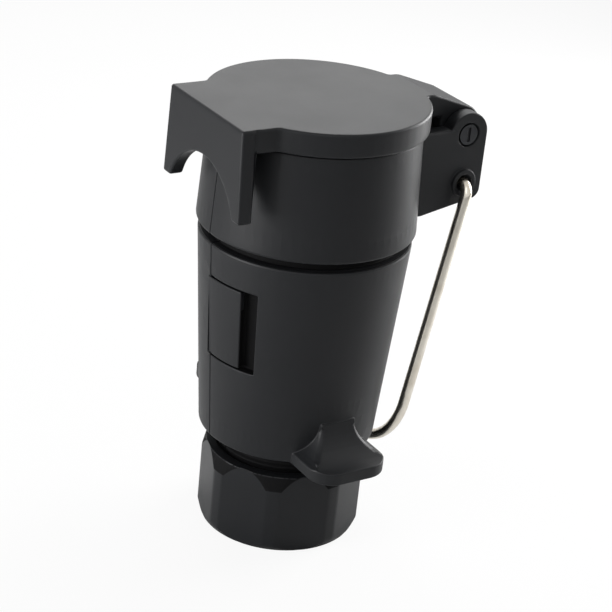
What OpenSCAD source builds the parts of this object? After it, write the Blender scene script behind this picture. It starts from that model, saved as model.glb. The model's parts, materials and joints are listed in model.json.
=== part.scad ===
// In-line trailer wiring socket with a sprung hook lid, a wire bail and a cable gland.
// +Z runs along the body axis from the cable end to the mating end. The origin is the centre
// of the cable hole in the gland nut's bottom face. +X points at the lid hinge.
// The shell splits at the XZ plane: the near half is on the -Y side, the far half on +Y.

/* [Lid] */
// Diameter of the round lid
lid_d = 62.2; // [60:0.2:76]
// Depth of the rim round the lid
lid_rim_h = 6.7; // [5.6:0.1:9]
// Thickness of the lid's top plate
lid_plate_t = 2.5; // [1.8:0.1:3.2]
// Wall thickness of the lid's rim
lid_rim_t = 1.7; // [1.2:0.1:2.4]
// Thickness of the rubber sheet inside the lid
gasket_t = 1.4; // [1:0.1:2.4]
// Width of the hook flange at the lid's front
flange_w = 39.2; // [34:0.2:46]
// How far the flange stands out past the lid's round edge
flange_out = 3.9; // [3.6:0.1:8]
// How far the flange hangs down from the lid's top
flange_drop = 25.5; // [20:0.5:32]
// Thickness of the flange plate
flange_t = 4.2; // [3:0.1:4.8]
// How much wider each flange leg is at its tip than at the top
flange_flare = 1.4; // [0:0.1:2]
// Radius of the half-round arch in the flange
arch_r = 18; // [13:0.5:18.5]
// How far the crown of the arch lies below the lid's top
arch_crown = 13.4; // [10:0.1:16]

/* [Hinge] */
// Distance from the lid's round edge to the hinge axis
hinge_reach = 11; // [10:0.1:16]
// Distance from the lid's top down to the hinge axis
hinge_drop = 11.15; // [10.8:0.05:14]
// Width of the lid's hinge arm
arm_w = 19.4; // [17:0.2:24]
// Thickness of each ear of the bracket
ear_t = 4.2; // [3:0.1:6]
// Radius of the round top of each ear
ear_r = 6.4; // [5:0.1:7.4]
// Diameter of the hinge pin
pin_d = 5; // [4:0.1:5.6]

/* [Collar and body] */
// Height of the collar that the lid closes on
collar_h = 29.7; // [26:0.1:38]
// How much the collar's radius grows from top to bottom
collar_flare = 1.35; // [0:0.05:2]
// Height of the ring groove between collar and body
groove_h = 2.6; // [1.5:0.1:3.2]
// Depth of that groove
groove_depth = 2.6; // [1:0.1:3]
// Height of the tapered body below the groove
body_h = 61; // [58:0.5:76]
// Diameter of the body at its lower end
body_bottom_d = 51.4; // [50:0.2:56]
// How far the finger rests stand out from the lower end of the body
finger_out = 12.8; // [8:0.2:18]
// Width of each finger rest
finger_w = 24; // [16:0.5:30]
// Thickness of each finger rest at its lip
finger_t = 3.6; // [2.5:0.1:5]

/* [Snap tabs] */
// Height of the window that each snap tab lies in
window_h = 24.8; // [14:0.2:26]
// Angle that the window spans, from the split line
window_deg = 34.5; // [28:0.5:40]
// Angle that the snap tab spans
tab_deg = 24.5; // [16:0.5:25]

/* [Gland] */
// Height of the gland nut
nut_h = 24.5; // [22:0.5:32]
// Width of the gland nut across its flats
nut_af = 45.8; // [45:0.2:52]
// Outer diameter of the gland thread
thread_d = 40; // [36:0.2:41]
// Pitch of the gland thread
thread_pitch = 3; // [2:0.5:4]
// Diameter of the cable hole in the gland nut
cable_hole_d = 21; // [18:0.5:26]
// Diameter of the cable that the rubber grommet grips
cable_d = 17; // [12:0.5:20]
// Gap between the nut's top and the body
gland_gap = 6.3; // [3:0.1:8]

/* [Bail] */
// Diameter of the bail wire
wire_d = 3.2; // [2.4:0.1:3.6]
// Length of the bail from its pivots to its far end
bail_len = 85; // [60:1:100]
// Distance from the hinge axis down to the bail's pivots
bail_drop = 14.15; // [12.5:0.05:18]

/* [Contacts] */
// Diameter of the socket's mouth
mouth_d = 50; // [49:0.2:52]
// Depth of the mouth
mouth_depth = 10; // [6:0.5:12]
// Diameter of the socket below the mouth
recess_d = 48; // [46:0.2:48.4]
// Depth of the whole socket
recess_depth = 34; // [30:0.5:36]
// Diameter of a contact pin
contact_d = 3; // [2:0.1:3.6]
// How far a contact pin stands up from the carrier
contact_reach = 22; // [16:0.5:24]
// Radius of the outer ring of contacts
outer_ring_r = 15; // [13:0.2:15.6]
// Radius of the inner ring of contacts
inner_ring_r = 7.5; // [7:0.1:8]

/* [Hidden] */
OUTER_CONTACTS = 9;
INNER_CONTACTS = 5;
CONTACTS = OUTER_CONTACTS + INNER_CONTACTS + 1;

$fn = 96;
EPS = 0.01;
FAR = 200;                 // larger than the whole part, for cutting tools
plastic = "#2f3032";
soft_black = "#1d1e20";
brass = "#c8a24c";
steel = "#c9c9c4";
insert_grey = "#4b4d50";

// Clearances
split_gap = 0.2;           // between the two shell halves
slide_fit = 0.1;           // between pieces that are pushed together
running_fit = 0.06;        // between a shaft and its hole
side_play = 0.3;           // beside a piece that turns

// Heights, from the bottom face of the gland nut upwards
body_z = nut_h + gland_gap;
groove_z = body_z + body_h;
collar_z = groove_z + groove_h;
shoulder_z = collar_z + collar_h;
rim_gap = 0.5;             // between the collar's shoulder and the lid's rim
rim_z = shoulder_z + rim_gap;
lid_top_z = rim_z + lid_rim_h;
gasket_z = lid_top_z - lid_plate_t - gasket_t;
mouth_z = gasket_z - slide_fit;
carrier_top_z = mouth_z - recess_depth;

// Radii
lid_r = lid_d / 2;
rim_inner_r = lid_r - lid_rim_t;
neck_r = rim_inner_r - 0.8;
collar_top_r = lid_r - 1.55;
collar_bottom_r = collar_top_r + collar_flare;
body_top_r = collar_bottom_r - 0.7;
body_bottom_r = body_bottom_d / 2;
groove_r = body_top_r - groove_depth;
mouth_r = mouth_d / 2;
recess_r = recess_d / 2;
cavity_r = recess_r + 0.2;
body_wall = 3;
nut_turned_r = nut_af / 2 + 1.05;     // cuts the corners of the nut's octagon
function body_r(z) = body_bottom_r + (body_top_r - body_bottom_r) * (z - body_z) / body_h;

// Flange
flange_x = -(lid_r + flange_out);
arch_z = lid_top_z - arch_crown - arch_r;

// Hinge and bracket
pin_x = lid_r + hinge_reach;
pin_z = lid_top_z - hinge_drop;
pin_r = pin_d / 2;
knuckle_r = ear_r + 0.8;
ear_in = arm_w / 2 + side_play;
ear_out = ear_in + ear_t;
ear_top_z = pin_z + 1.95;
ear_foot_z = collar_z + 2.8;
ear_root_x = 0.88 * collar_top_r;     // inside the collar's wall
head_r = pin_r + 0.5;
head_t = 1;
recess_gap = 0.5;
groove_y = ear_out - head_t + 0.15;   // the clip's groove in the pin

// Bail
wire_r = wire_d / 2;
boss_h = 1;
boss_r = 4;
bail_bend_r = 3.4;
bail_y = ear_out + boss_h + wire_r + 0.5;
bail_x = pin_x - 0.1;
bail_z = pin_z - bail_drop;
bail_end_z = bail_z - bail_len;
// what the bail's far end lies against: the nut, or the body when the bail is short
bail_rest_r = bail_end_z > nut_h ? body_r(max(body_z, bail_end_z + bail_y)) : nut_turned_r;
bail_rest_x = bail_rest_r + wire_r + 0.45;
bail_tilt = asin((bail_x - bail_rest_x) / bail_len);
bail_hole_r = wire_r + running_fit;

// Lid spring
spring_wire_r = 0.55;
spring_coil_r = pin_r + 0.35 + spring_wire_r;
spring_pitch = 1.3;
spring_from_deg = 20;      // where the lid's leg meets the coil
spring_to_deg = 360 * 5 + 164;
spring_step_deg = 18;
spring_steps = (spring_to_deg - spring_from_deg) / spring_step_deg;
spring_y = -3.4;
spring_lid_leg = 11;
spring_pocket_half_w = 5.2;
function collar_side_r(z) = collar_top_r + collar_flare * (shoulder_z - z) / collar_h;

// Snap tabs
tab_t = 2;
tab_gap = 0.5;
window_depth = 2.9;
window_z = body_z + 0.435 * body_h;

// Gland
thread_r = thread_d / 2;
thread_depth = 1;
nut_lip = 4;
nut_bore_r = thread_r + 0.15;
nut_top_chamfer = 4.6;
nut_bottom_chamfer = 2;
washer_t = 1.8;
washer_z = nut_lip + slide_fit;
grommet_z = washer_z + washer_t + slide_fit;
grommet_flange_t = 4;
spigot_z = grommet_z + grommet_flange_t;
spigot_bore_r = thread_r - thread_depth - 3.4;
floor_t = 3;
cable_hole_r = cable_hole_d / 2;

// Contact carrier and what is stacked under it
carrier_h = 15.5;
carrier_z = carrier_top_z - carrier_h;
carrier_r = recess_r - 0.15;
carrier_flange_r = recess_r + 1.4;
carrier_flange_z = carrier_z + 6;
carrier_flange_t = 3.5;
seal_groove_z = carrier_top_z - 4;
seal_h = 2.2;
seal_depth = 1.6;
contact_r = contact_d / 2;
contact_collar_r = contact_r + 0.9;
contact_collar_t = 5.8;
barrel_r = contact_r + 0.5;
barrel_drop = 10;                     // below the carrier
plate_t = 3.3;
plate_z = carrier_z - plate_t - slide_fit;
wire_seal_t = 7;
wire_seal_z = carrier_z - barrel_drop - 1 - wire_seal_t;
wire_hole_r = 1.3;
retainer_t = 3.4;
retainer_z = wire_seal_z - retainer_t - slide_fit;
carrier_screw_r = 1.5;
carrier_screw_ring = recess_r - 3.5;
carrier_screw_head_r = 2.7;
carrier_screw_head_t = 2.4;
carrier_screw_bite = 6;
lug_w = 4;
lug_out = 1.2;
cavity_floor_z = body_z + floor_t;
cavity_shoulder_z = retainer_z - carrier_screw_head_t - 1;

// Centres of the contacts: an outer ring, an inner ring and one in the middle
contact_xy = concat(
    [for (i = [0:OUTER_CONTACTS - 1]) let (a = 360 * i / OUTER_CONTACTS)
        outer_ring_r * [cos(a), sin(a)]],
    [for (i = [0:INNER_CONTACTS - 1]) let (a = 360 * i / INNER_CONTACTS + 20)
        inner_ring_r * [cos(a), sin(a)]],
    [[0, 0]]);

// ---------------------------------------------------------------- helpers

module tube(r_out, r_in, z, h) {
    translate([0, 0, z])
        difference() {
            cylinder(r = r_out, h = h);
            translate([0, 0, -1]) cylinder(r = r_in, h = h + 2);
        }
}

// A shaft along Y, from y0 to y1, at the given x and z
module along_y(r, x, z, y0, y1) {
    translate([x, y1, z]) rotate([90, 0, 0]) cylinder(r = r, h = y1 - y0);
}

// An outline drawn in X and Z, extruded from y0 to y1
module plate_y(y0, y1) {
    translate([0, y1, 0]) rotate([90, 0, 0]) linear_extrude(y1 - y0) children();
}

// The space between two angles, seen from the Z axis
module sector(from_deg, to_deg, z, h) {
    translate([0, 0, z])
        linear_extrude(h)
            polygon([[0, 0], [FAR * cos(from_deg), FAR * sin(from_deg)],
                     [FAR * cos(to_deg), FAR * sin(to_deg)]]);
}

module half_space(side, gap) {
    translate([-FAR, side > 0 ? gap / 2 : -FAR - gap / 2, -FAR]) cube([2 * FAR, FAR, 3 * FAR]);
}

// A layer of the tapered body's wall, from depth d0 to depth d1 under its surface
module body_layer(d0, d1, z, h) {
    translate([0, 0, z])
        difference() {
            cylinder(r1 = body_r(z) - d0, r2 = body_r(z + h) - d0, h = h);
            translate([0, 0, -EPS])
                cylinder(r1 = body_r(z - EPS) - d1, r2 = body_r(z + h + EPS) - d1, h = h + 2 * EPS);
        }
}

module contact_holes(r, z0, z1) {
    for (p = contact_xy) translate([p[0], p[1], z0]) cylinder(r = r, h = z1 - z0, $fn = 48);
}

module carrier_screw_holes(r, z0, z1) {
    for (side = [-1, 1])
        translate([0, side * carrier_screw_ring, z0]) cylinder(r = r, h = z1 - z0, $fn = 48);
}

// ---------------------------------------------------------------- shell halves

// Outer and inner profile of both halves together, as one ring: radius, height
function thread_profile() = [
    for (z = [body_z - 1.2 : -thread_pitch : spigot_z + thread_pitch])
        for (p = [[-thread_depth, 0], [0, -0.7], [0, -1.3], [-thread_depth, -2]])
            [thread_r + p[0], z + p[1]]];

module shell_ring() {
    collar_edge = 0.9;
    rotate_extrude()
        polygon(concat(
            // socket, from the mouth down to the carrier's seat
            [[mouth_r + 0.6, mouth_z], [mouth_r, mouth_z - 0.6], [mouth_r, mouth_z - mouth_depth],
             [recess_r, mouth_z - mouth_depth],
             [recess_r, carrier_flange_z + carrier_flange_t + slide_fit],
             [carrier_flange_r + 0.2, carrier_flange_z + carrier_flange_t + slide_fit],
             [carrier_flange_r + 0.2, carrier_flange_z - slide_fit],
             [cavity_r, carrier_flange_z - slide_fit],
             // cable chamber
             [cavity_r, cavity_shoulder_z],
             [min(cavity_r, body_r(cavity_floor_z) - body_wall), cavity_floor_z + 2],
             [spigot_bore_r, cavity_floor_z],
             [spigot_bore_r, spigot_z], [thread_r - thread_depth - 1, spigot_z],
             [thread_r - thread_depth, spigot_z + 1]],
            // gland thread, drawn as rings, then the outside from the bottom up
            [for (i = [len(thread_profile()) - 1 : -1 : 0]) thread_profile()[i]],
            [[thread_r - thread_depth, body_z], [body_bottom_r - 0.6, body_z],
             [body_bottom_r, body_z + 0.6],
             [body_top_r - 0.04, groove_z - 0.5], [body_top_r - 0.5, groove_z],
             [groove_r, groove_z], [groove_r, collar_z],
             [collar_bottom_r - collar_edge, collar_z]],
            [for (a = [15 : 15 : 90])
                [collar_bottom_r - collar_edge * (1 - sin(a)), collar_z + collar_edge * (1 - cos(a))]],
            [[collar_top_r, shoulder_z - 0.4], [collar_top_r - 0.4, shoulder_z],
             [neck_r, shoulder_z], [neck_r, mouth_z - 0.5], [neck_r - 0.5, mouth_z]]));
}

// One ear's outline in X and Z
module ear_outline() {
    corner_r = 3;
    right_x = pin_x + ear_r;
    translate([pin_x, pin_z]) circle(r = ear_r);
    translate([right_x - corner_r, bail_z - 2.6]) circle(r = corner_r);
    polygon([[ear_root_x, ear_top_z], [pin_x, ear_top_z], [pin_x, pin_z], [right_x, pin_z],
             [right_x, bail_z - 2.6], [right_x - corner_r * 0.75, bail_z - 2.6 - corner_r * 0.97],
             [ear_root_x + 5.5, ear_foot_z + 0.5], [ear_root_x + 3, ear_foot_z],
             [ear_root_x, ear_foot_z]]);
}

module ear(side) {
    mirror([0, side > 0 ? 0 : 1, 0])
        difference() {
            union() {
                plate_y(ear_in, ear_out) ear_outline();
                along_y(boss_r, bail_x, bail_z, ear_out - EPS, ear_out + boss_h);
            }
            along_y(pin_r + running_fit, pin_x, pin_z, 0, FAR);
            along_y(head_r + recess_gap, pin_x, pin_z, ear_out - head_t - 0.2, FAR);
            along_y(bail_hole_r, bail_x, bail_z, 0, FAR);
            // flared mouth, which leaves room for the wire's bend
            translate([bail_x, ear_out + boss_h + EPS, bail_z]) rotate([90, 0, 0])
                cylinder(r1 = bail_hole_r + 1, r2 = bail_hole_r, h = 2.2);
        }
}

// A finger rest standing out along -Y or +Y: a ledge with rounded corners, and above it a web
// that sweeps up into the body with a hollow on its front and on both sides
module finger_rest(side) {
    corner = finger_w * 0.3;
    tip = body_bottom_r + finger_out;
    lip = 1.5;
    cove_r = finger_out - lip - 1;
    cove_z = body_z + finger_t + cove_r;
    web_top_half_w = finger_w * 0.23;
    side_dip = 0.9;                    // how much deeper the side hollows go than the front one
    mirror([0, side > 0 ? 0 : 1, 0])
        difference() {
            translate([0, 0, body_z])
                linear_extrude(finger_t + cove_r - side_dip)
                    union() {
                        translate([-finger_w / 2, 0]) square([finger_w, tip - corner]);
                        translate([-finger_w / 2 + corner, 0])
                            square([finger_w - 2 * corner, tip]);
                        for (s = [-1, 1])
                            translate([s * (finger_w / 2 - corner), tip - corner])
                                circle(r = corner);
                    }
            // hollow on the front
            translate([0, tip - lip, cove_z]) rotate([0, 90, 0])
                cylinder(r = cove_r, h = FAR, center = true);
            translate([-FAR / 2, tip - lip, body_z + finger_t]) cube([FAR, FAR, FAR]);
            // hollow on each side
            for (s = [-1, 1])
                translate([s * (web_top_half_w + cove_r), 0, cove_z - side_dip]) rotate([-90, 0, 0])
                    cylinder(r = cove_r, h = FAR);
        }
}

// Snap tab at the -X split line, lying on the -Y side. Turned half round for the other one.
module snap_tab() {
    catch_z = window_z + window_h * 0.27;
    catch_h = window_h * 0.46;
    intersection() {
        body_layer(0, tab_t, window_z + tab_gap, window_h - 2 * tab_gap);
        sector(178, 180 + tab_deg, body_z, body_h);
    }
    intersection() {
        body_layer(tab_t - EPS, tab_t + 1.3, catch_z, catch_h);
        sector(180 + tab_deg - 8, 180 + tab_deg - 3, body_z, body_h);
    }
}

module snap_window() {
    catch_z = window_z + window_h * 0.27;
    catch_h = window_h * 0.46;
    intersection() {
        body_layer(-1, tab_t + 0.3, window_z, window_h);
        sector(180 - 0.5, 180 + tab_deg + 1, body_z, body_h);
    }
    intersection() {
        body_layer(-1, window_depth, window_z, window_h);
        sector(180 + tab_deg - 0.5, 180 + window_deg, body_z, body_h);
    }
    intersection() {
        body_layer(tab_t, tab_t + 1.7, catch_z - 0.4, catch_h + 0.8);
        sector(180 + tab_deg - 9, 180 + tab_deg - 2, body_z, body_h);
    }
}

// Ribs in the socket that let the mating plug in one way round only
module key_rib(deg, w, depth) {
    rotate([0, 0, deg])
        translate([recess_r - depth, -w / 2, carrier_top_z + 0.2])
            cube([depth + 1, w, mouth_z - mouth_depth - carrier_top_z - 1.2]);
}

module shell_half(side) {
    difference() {
        union() {
            intersection() {
                shell_ring();
                half_space(side, split_gap);
            }
            ear(side);
            difference() {
                finger_rest(side);
                translate([0, 0, body_z]) cylinder(r = body_bottom_r - 1.5, h = FAR);
            }
            key_rib(side > 0 ? 45 : 225, side > 0 ? 5 : 3, 1.4);
        }
        rotate([0, 0, side > 0 ? 180 : 0]) snap_window();
        if (side > 0)
            rotate([0, 0, 90])
                translate([recess_r, -lug_w / 2 - 0.15, carrier_flange_z - slide_fit])
                    cube([1.4 + lug_out + 0.2, lug_w + 0.3, carrier_flange_t + 2 * slide_fit]);
    }
    rotate([0, 0, side > 0 ? 0 : 180]) snap_tab();
}

module shell_near() {
    color(plastic) shell_half(-1);
}

module shell_far() {
    color(plastic) shell_half(1);
}

// ---------------------------------------------------------------- lid

// Seen from above: the round lid and the flange's block, blended into each other
module lid_outline() {
    blend_r = 2.5;
    half_w = flange_w / 2;
    blend_x = -sqrt(pow(lid_r + blend_r, 2) - pow(half_w + blend_r, 2));
    circle(r = lid_r);
    translate([flange_x, -half_w]) square([-flange_x, flange_w]);
    for (side = [0, 1])
        mirror([0, side])
            difference() {
                polygon([[blend_x, half_w], [-lid_r / 2, half_w - 3],
                         [blend_x, half_w + blend_r] * lid_r / (lid_r + blend_r)]);
                translate([blend_x, half_w + blend_r]) circle(r = blend_r);
            }
}

module arm_profile() {
    arm_end_x = pin_x - 5;
    edge_r = arm_end_x - lid_r;            // the arm's top stays level as far as the round lid goes
    translate([pin_x, pin_z]) circle(r = knuckle_r);
    intersection() {
        translate([arm_end_x - edge_r, lid_top_z - edge_r]) circle(r = edge_r);
        translate([lid_r - 8, rim_z]) square([edge_r + 8, lid_rim_h]);
    }
    slope = atan2(lid_top_z - edge_r - pin_z, pin_x - arm_end_x + edge_r);
    reach = norm([lid_top_z - edge_r - pin_z, pin_x - arm_end_x + edge_r]);
    tilt = asin((knuckle_r - edge_r) / reach);
    // the flat tangent to both rounds
    n = [cos(90 - slope + tilt), sin(90 - slope + tilt)];
    polygon([[lid_r - 8, lid_top_z], [arm_end_x - edge_r, lid_top_z],
             [arm_end_x - edge_r, lid_top_z - edge_r] + edge_r * n,
             [pin_x, pin_z] + knuckle_r * n, [pin_x, pin_z], [pin_x - knuckle_r, pin_z],
             [pin_x - knuckle_r, rim_z], [lid_r - 8, rim_z]]);
}

module lid() {
    flange_foot_z = lid_top_z - flange_drop;
    color(plastic)
        difference() {
            union() {
                translate([0, 0, rim_z]) linear_extrude(lid_rim_h) lid_outline();
                // hook flange, a little wider at the foot
                rotate([90, 0, 90])
                    translate([0, 0, flange_x])
                        linear_extrude(flange_t)
                            polygon([[-flange_w / 2, lid_top_z], [flange_w / 2, lid_top_z],
                                     [flange_w / 2 + flange_flare, flange_foot_z],
                                     [-flange_w / 2 - flange_flare, flange_foot_z]]);
                plate_y(-arm_w / 2, arm_w / 2) arm_profile();
            }
            // arch
            translate([flange_x - 1, 0, arch_z]) rotate([0, 90, 0])
                cylinder(r = arch_r, h = flange_t + 1 + 1);
            // hollow under the top plate
            translate([0, 0, rim_z - 1])
                linear_extrude(lid_rim_h - lid_plate_t + 1)
                    union() {
                        circle(r = rim_inner_r);
                        translate([flange_x + flange_t, -flange_w / 2 + lid_rim_t])
                            square([-flange_x - flange_t, flange_w - 2 * lid_rim_t]);
                    }
            // hinge bore, and the pocket that the spring lies in
            along_y(pin_r + running_fit, pin_x, pin_z, -FAR / 2, FAR / 2);
            along_y(knuckle_r - 1.3, pin_x, pin_z, -spring_pocket_half_w, spring_pocket_half_w);
            translate([pin_x - knuckle_r - 1, -spring_pocket_half_w, pin_z - knuckle_r - 1])
                cube([2 * knuckle_r + 2, 2 * spring_pocket_half_w, knuckle_r + 1]);
            translate([pin_x - knuckle_r - 1, -spring_pocket_half_w, pin_z - 1])
                cube([knuckle_r + 1, 2 * spring_pocket_half_w, rim_z - pin_z + 1]);
            translate(spring_point(spring_from_deg))
                rotate([0, spring_from_deg - 90, 0])
                    cylinder(r = spring_wire_r + slide_fit, h = spring_lid_leg + 0.3);
        }
}

module lid_gasket() {
    bead_w = 1.2;
    color(soft_black) {
        difference() {
            translate([0, 0, gasket_z]) cylinder(r = rim_inner_r - 0.05, h = gasket_t);
            // shallow dish, clear of the sealing band
            translate([0, 0, gasket_z - 1])
                cylinder(r = mouth_r - 2 * bead_w, h = 1 + gasket_t * 0.4);
        }
    }
}

// ---------------------------------------------------------------- hinge

module hinge_pin() {
    color(steel)
        difference() {
            union() {
                along_y(pin_r, pin_x, pin_z, -ear_out + head_t - 0.2, ear_out - 0.1);
                along_y(head_r, pin_x, pin_z, -ear_out + 0.1, -ear_out + head_t);
            }
            // driver slot across the head
            translate([pin_x - 0.5, -ear_out - 0.5, pin_z - head_r * 0.7])
                cube([1, 1.1, head_r * 1.4]);
            // groove for the clip
            difference() {
                along_y(pin_r + 1, pin_x, pin_z, groove_y - 0.35, groove_y + 0.35);
                along_y(pin_r - 0.6, pin_x, pin_z, groove_y - 1, groove_y + 1);
            }
        }
}

module hinge_clip() {
    clip_t = 0.3;
    color(steel)
        difference() {
            along_y(head_r + recess_gap * 0.6, pin_x, pin_z, groove_y - clip_t, groove_y + clip_t);
            along_y(pin_r - 0.55, pin_x, pin_z, groove_y - 1, groove_y + 1);
            translate([pin_x - pin_r * 0.7, groove_y - 1, pin_z - FAR])
                cube([pin_r * 1.4, 2, FAR]);
        }
}

// Torsion spring: a coil round the pin, one leg in a hole in the lid's arm, one on the collar
function spring_point(a) = [pin_x + spring_coil_r * sin(a),
                            spring_y + spring_pitch * (a - spring_from_deg) / 360,
                            pin_z + spring_coil_r * cos(a)];
function spring_direction(a) = [cos(a), 0, -sin(a)];
spring_end = spring_point(spring_to_deg);
spring_foot_z = pin_z - 6;
spring_path = concat(
    [spring_point(spring_from_deg) - spring_lid_leg * spring_direction(spring_from_deg)],
    [for (i = [0 : spring_steps]) spring_point(spring_from_deg + i * spring_step_deg)],
    [[collar_side_r(spring_foot_z) + spring_wire_r + slide_fit, spring_end[1], spring_foot_z],
     [collar_side_r(spring_foot_z - 3) + spring_wire_r + slide_fit, spring_end[1], spring_foot_z - 3]]);

function unit(v) = v / norm(v);
function path_direction(path, i) =
    unit(path[min(i + 1, len(path) - 1)] - path[max(i - 1, 0)]);

// A round wire along a path that stays nearly square to Y
module wire_along(path, r, sides) {
    rings = [for (i = [0 : len(path) - 1])
        let (t = path_direction(path, i), n = unit(cross(t, [0, 1, 0])), b = cross(n, t))
            for (k = [0 : sides - 1])
                path[i] + r * (cos(360 * k / sides) * n + sin(360 * k / sides) * b)];
    last = len(path) - 1;
    polyhedron(
        points = rings,
        faces = concat(
            [[for (k = [0 : sides - 1]) k]],
            [for (i = [0 : last - 1], k = [0 : sides - 1])
                let (k2 = (k + 1) % sides)
                    [i * sides + k, (i + 1) * sides + k, (i + 1) * sides + k2, i * sides + k2]],
            [[for (k = [sides - 1 : -1 : 0]) last * sides + k]]));
}

module lid_spring() {
    color(steel) wire_along(spring_path, spring_wire_r, 8);
}

// ---------------------------------------------------------------- bail

module bail() {
    inner_end_y = ear_in + 0.6;
    bend_y = bail_y - bail_bend_r;
    arc_r = bail_y;
    leg = bail_len - arc_r;
    color(steel)
        translate([bail_x, 0, bail_z])
            rotate([0, bail_tilt, 0]) {
                for (side = [0, 1]) mirror([0, side, 0]) {
                    along_y(wire_r, 0, 0, inner_end_y, bend_y);
                    // bend at the pivot
                    translate([0, bend_y, -bail_bend_r])
                        rotate([90, 0, 90])
                            rotate_extrude(angle = 90) translate([bail_bend_r, 0]) circle(r = wire_r, $fn = 48);
                    translate([0, bail_y, -leg]) cylinder(r = wire_r, h = leg - bail_bend_r);
                }
                translate([0, 0, -leg])
                    rotate([90, 0, 90])
                        rotate([0, 0, 180])
                            rotate_extrude(angle = 180) translate([arc_r, 0]) circle(r = wire_r, $fn = 48);
            }
}

// ---------------------------------------------------------------- cable gland

module gland_nut() {
    octagon_turn = 8;
    top_r = nut_af / 2;
    bottom_r = nut_af / 2 + 0.05;
    color(plastic)
        difference() {
            intersection() {
                rotate([0, 0, octagon_turn])
                    cylinder(r = nut_af / 2 / cos(22.5), h = nut_h, $fn = 8);
                rotate_extrude()
                    polygon([[0, 0], [bottom_r, 0], [nut_turned_r, nut_bottom_chamfer],
                             [nut_turned_r, nut_h - nut_top_chamfer], [top_r, nut_h], [0, nut_h]]);
            }
            translate([0, 0, nut_lip]) cylinder(r = nut_bore_r, h = nut_h);
            translate([0, 0, -1]) cylinder(r = cable_hole_r, h = nut_h);
        }
}

module thrust_washer() {
    color(insert_grey) tube(nut_bore_r - 0.6, cable_hole_r - 0.5, washer_z, washer_t);
}

module grommet() {
    plug_h = 14;
    color(soft_black)
        rotate_extrude()
            polygon([[cable_d / 2, grommet_z], [nut_bore_r - 0.8, grommet_z],
                     [nut_bore_r - 0.8, spigot_z - slide_fit],
                     [spigot_bore_r - slide_fit, spigot_z - slide_fit],
                     [spigot_bore_r - slide_fit, spigot_z + plug_h * 0.6],
                     [spigot_bore_r - 1.8, spigot_z + plug_h],
                     [cable_d / 2, spigot_z + plug_h]]);
}

// ---------------------------------------------------------------- contacts

module contact_carrier() {
    color(insert_grey)
        difference() {
            union() {
                translate([0, 0, carrier_z]) cylinder(r = carrier_r, h = carrier_h);
                translate([0, 0, carrier_flange_z])
                    cylinder(r = carrier_flange_r, h = carrier_flange_t);
                rotate([0, 0, 90])
                    translate([0, -lug_w / 2, carrier_flange_z])
                        cube([carrier_flange_r + lug_out, lug_w, carrier_flange_t]);
            }
            tube(carrier_r + 1, carrier_r - seal_depth, seal_groove_z, seal_h);
            contact_holes(contact_r + slide_fit, carrier_z - 1, carrier_top_z + 1);
            contact_holes(contact_collar_r + slide_fit, carrier_z - 1, carrier_z + 6);
            carrier_screw_holes(carrier_screw_r + 0.02, carrier_z - 1,
                                carrier_z + carrier_screw_bite + 0.5);
        }
}

module carrier_seal() {
    color(soft_black)
        tube(recess_r - slide_fit / 2, carrier_r - seal_depth + slide_fit / 2,
             seal_groove_z + slide_fit, seal_h - 2 * slide_fit);
}

module contact(i) {
    pin_top_z = carrier_top_z + contact_reach;
    p = contact_xy[i - 1];
    color(brass)
        translate([p[0], p[1], 0])
            rotate_extrude($fn = 48)
                polygon(concat(
                    [[0, pin_top_z]],
                    [for (a = [15 : 15 : 90])
                        [contact_r * sin(a), pin_top_z - contact_r * (1 - cos(a))]],
                    [[contact_r, carrier_z + contact_collar_t],
                     [contact_collar_r, carrier_z + contact_collar_t],
                     [contact_collar_r, carrier_z], [barrel_r, carrier_z],
                     [barrel_r, carrier_z - barrel_drop],
                     [barrel_r - 0.6, carrier_z - barrel_drop],
                     [barrel_r - 0.6, carrier_z - 2], [0, carrier_z - 2]]));
}

module contact_lock_plate() {
    color(insert_grey)
        difference() {
            translate([0, 0, plate_z]) cylinder(r = cavity_r - 0.4, h = plate_t);
            contact_holes(barrel_r + slide_fit, plate_z - 1, carrier_z);
            carrier_screw_holes(carrier_screw_r + slide_fit, plate_z - 1, carrier_z);
        }
}

module wire_seal() {
    color(soft_black)
        difference() {
            translate([0, 0, wire_seal_z]) cylinder(r = cavity_r - 0.05, h = wire_seal_t);
            contact_holes(wire_hole_r, wire_seal_z - 1, wire_seal_z + wire_seal_t + 1);
            carrier_screw_holes(carrier_screw_r + slide_fit, wire_seal_z - 1,
                                wire_seal_z + wire_seal_t + 1);
        }
}

module seal_retainer() {
    color(insert_grey)
        difference() {
            translate([0, 0, retainer_z]) cylinder(r = cavity_r - 0.3, h = retainer_t);
            contact_holes(wire_hole_r + 0.9, retainer_z - 1, retainer_z + retainer_t + 1);
            carrier_screw_holes(carrier_screw_r + slide_fit, retainer_z - 1,
                                retainer_z + retainer_t + 1);
        }
}

module carrier_screws() {
    head_z = retainer_z - carrier_screw_head_t;
    top_z = carrier_z + carrier_screw_bite;
    color(steel)
        for (side = [-1, 1])
            translate([0, side * carrier_screw_ring, 0])
                difference() {
                    union() {
                        translate([0, 0, head_z])
                            cylinder(r = carrier_screw_head_r, h = carrier_screw_head_t, $fn = 48);
                        translate([0, 0, retainer_z - EPS])
                            cylinder(r = carrier_screw_r, h = top_z - retainer_z, $fn = 48);
                    }
                    translate([-FAR / 2, -0.4, head_z - 1]) cube([FAR, 0.8, 2]);
                }
}

// ---------------------------------------------------------------- what is drawn

shell_near();
shell_far();
lid();
lid_gasket();
hinge_pin();
hinge_clip();
lid_spring();
bail();
gland_nut();
thrust_washer();
grommet();
contact_carrier();
carrier_seal();
contact_lock_plate();
wire_seal();
seal_retainer();
carrier_screws();
for (i = [1:CONTACTS]) contact(i);
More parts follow.
